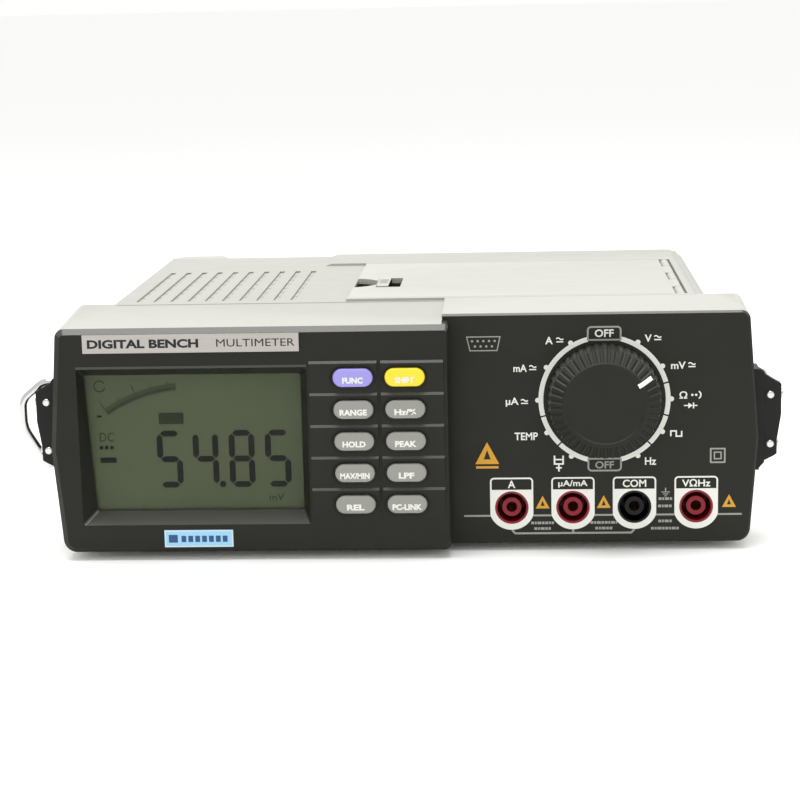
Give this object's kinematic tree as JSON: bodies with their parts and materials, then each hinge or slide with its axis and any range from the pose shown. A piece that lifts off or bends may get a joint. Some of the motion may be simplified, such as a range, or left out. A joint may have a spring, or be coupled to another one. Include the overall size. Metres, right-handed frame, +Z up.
{
  "type": "bench multimeter",
  "caption": "Benchtop digital multimeter with a stepped front panel, display window, pill keys, a range knob, shrouded jacks, carrying rings and a battery hatch.",
  "frame": {"origin": "on the bench, midway between the case sides, level with the control section front face", "axes": "+X to the operator's right, +Y to the rear, +Z up; the front panel faces -Y"},
  "size_m": [0.2914, 0.1968, 0.0926],
  "materials": {
    "case_grey": "fine texture",
    "lid_grey": "fine texture",
    "panel_dark": "fine texture",
    "panel_rear": "fine texture",
    "window_clear": "clear",
    "lcd": "satin",
    "frame_black": "moulded",
    "diffuser_white": "moulded",
    "board_green": "solder mask",
    "steel": "plated",
    "chrome": "polished",
    "brass": "bright",
    "knob_black": "moulded",
    "pointer_white": "inlaid",
    "shaft_plastic": "moulded",
    "jack_red": "moulded",
    "jack_black": "moulded",
    "inlet_black": "moulded",
    "latch_black": "moulded",
    "tray_grey": "moulded",
    "cell": "wrapped",
    "core_steel": "laminated",
    "winding": "varnished",
    "fuse_glass": "clear",
    "rubber": "matte",
    "lug_black": "moulded",
    "strip_silver": "brushed film",
    "sticker_blue": "printed film",
    "key_grey": "moulded",
    "key_lavender": "moulded",
    "key_yellow": "moulded"
  },
  "bodies": {
    "chassis": {"backlight": "diffuser_white", "battery_cells": "cell", "battery_contacts": "steel", "battery_tray": "tray_grey", "board_screws": "steel", "bottom_cover": "case_grey", "capacitors": "cell", "case_screws": "steel", "detent_ring": "frame_black", "display_board": "board_green", "display_window": "window_clear", "feet": "rubber", "front_panel": "panel_dark", "fuse_clips": "brass", "fuses": "fuse_glass", "hatch_pin": "steel", "jack_black_post": "jack_black", "jack_black_shell": "jack_black", "jack_contacts": "brass", "jack_red_posts": "jack_red", "jack_red_shells": "jack_red", "keypad_guide": "frame_black", "lcd_frame": "frame_black", "lcd_glass": "lcd", "lug_bases": "lug_black", "lug_caps": "lug_black", "lug_screws": "chrome", "main_board": "board_green", "mains_inlet": "inlet_black", "mains_pins": "steel", "name_strip": "strip_silver", "rear_bumpers": "case_grey", "rear_panel": "panel_rear", "serial_insert": "inlet_black", "serial_shell": "steel", "sticker": "sticker_blue", "switch_board": "board_green", "tact_switches": "frame_black", "top_cover": "case_grey", "transformer_core": "core_steel", "transformer_winding": "winding"},
    "knob": {"knob": "knob_black", "knob_pointer": "pointer_white", "switch_shaft": "shaft_plastic", "switch_rotor": "shaft_plastic", "wiper_contacts": "brass"},
    "hatch": {"hatch_lid": "lid_grey"},
    "hatch_latch": {"hatch_latch": "latch_black"},
    "ring_left": {"ring_left": "chrome"},
    "ring_right": {"ring_right": "chrome"},
    "key_a1": {"key_a1": "key_lavender"},
    "key_a2": {"key_a2": "key_grey"},
    "key_a3": {"key_a3": "key_grey"},
    "key_a4": {"key_a4": "key_grey"},
    "key_a5": {"key_a5": "key_grey"},
    "key_b1": {"key_b1": "key_yellow"},
    "key_b2": {"key_b2": "key_grey"},
    "key_b3": {"key_b3": "key_grey"},
    "key_b4": {"key_b4": "key_grey"},
    "key_b5": {"key_b5": "key_grey"}
  },
  "joints": [
    {"name": "range_knob", "type": "hinge", "parent": "chassis", "child": "knob", "pos_m": [0.0749, 0, 0.0578], "axis": [0, -1, 0], "continuous": true},
    {"name": "hatch_hinge", "type": "hinge", "parent": "chassis", "child": "hatch", "pos_m": [0.106, 0.0845, 0.0907], "axis": [0, 1, 0], "range_deg": [0, 100]},
    {"name": "latch_slide", "type": "slide", "parent": "hatch", "child": "hatch_latch", "axis": [1, 0, 0], "range_m": [0, 0.003], "stiffness_N_per_m": 300},
    {"name": "ring_left_swing", "type": "hinge", "parent": "chassis", "child": "ring_left", "pos_m": [-0.1352, 0.015, 0.048], "axis": [0, 0, 1], "range_deg": [-90, 0]},
    {"name": "ring_right_swing", "type": "hinge", "parent": "chassis", "child": "ring_right", "pos_m": [0.1352, 0.015, 0.048], "axis": [0, 0, -1], "range_deg": [0, 90]},
    {"name": "key_a1_press", "type": "slide", "parent": "chassis", "child": "key_a1", "axis": [0, 1, 0], "range_m": [0, 0.001], "stiffness_N_per_m": 400},
    {"name": "key_a2_press", "type": "slide", "parent": "chassis", "child": "key_a2", "axis": [0, 1, 0], "range_m": [0, 0.001], "stiffness_N_per_m": 400},
    {"name": "key_a3_press", "type": "slide", "parent": "chassis", "child": "key_a3", "axis": [0, 1, 0], "range_m": [0, 0.001], "stiffness_N_per_m": 400},
    {"name": "key_a4_press", "type": "slide", "parent": "chassis", "child": "key_a4", "axis": [0, 1, 0], "range_m": [0, 0.001], "stiffness_N_per_m": 400},
    {"name": "key_a5_press", "type": "slide", "parent": "chassis", "child": "key_a5", "axis": [0, 1, 0], "range_m": [0, 0.001], "stiffness_N_per_m": 400},
    {"name": "key_b1_press", "type": "slide", "parent": "chassis", "child": "key_b1", "axis": [0, 1, 0], "range_m": [0, 0.001], "stiffness_N_per_m": 400},
    {"name": "key_b2_press", "type": "slide", "parent": "chassis", "child": "key_b2", "axis": [0, 1, 0], "range_m": [0, 0.001], "stiffness_N_per_m": 400},
    {"name": "key_b3_press", "type": "slide", "parent": "chassis", "child": "key_b3", "axis": [0, 1, 0], "range_m": [0, 0.001], "stiffness_N_per_m": 400},
    {"name": "key_b4_press", "type": "slide", "parent": "chassis", "child": "key_b4", "axis": [0, 1, 0], "range_m": [0, 0.001], "stiffness_N_per_m": 400},
    {"name": "key_b5_press", "type": "slide", "parent": "chassis", "child": "key_b5", "axis": [0, 1, 0], "range_m": [0, 0.001], "stiffness_N_per_m": 400}
  ]
}
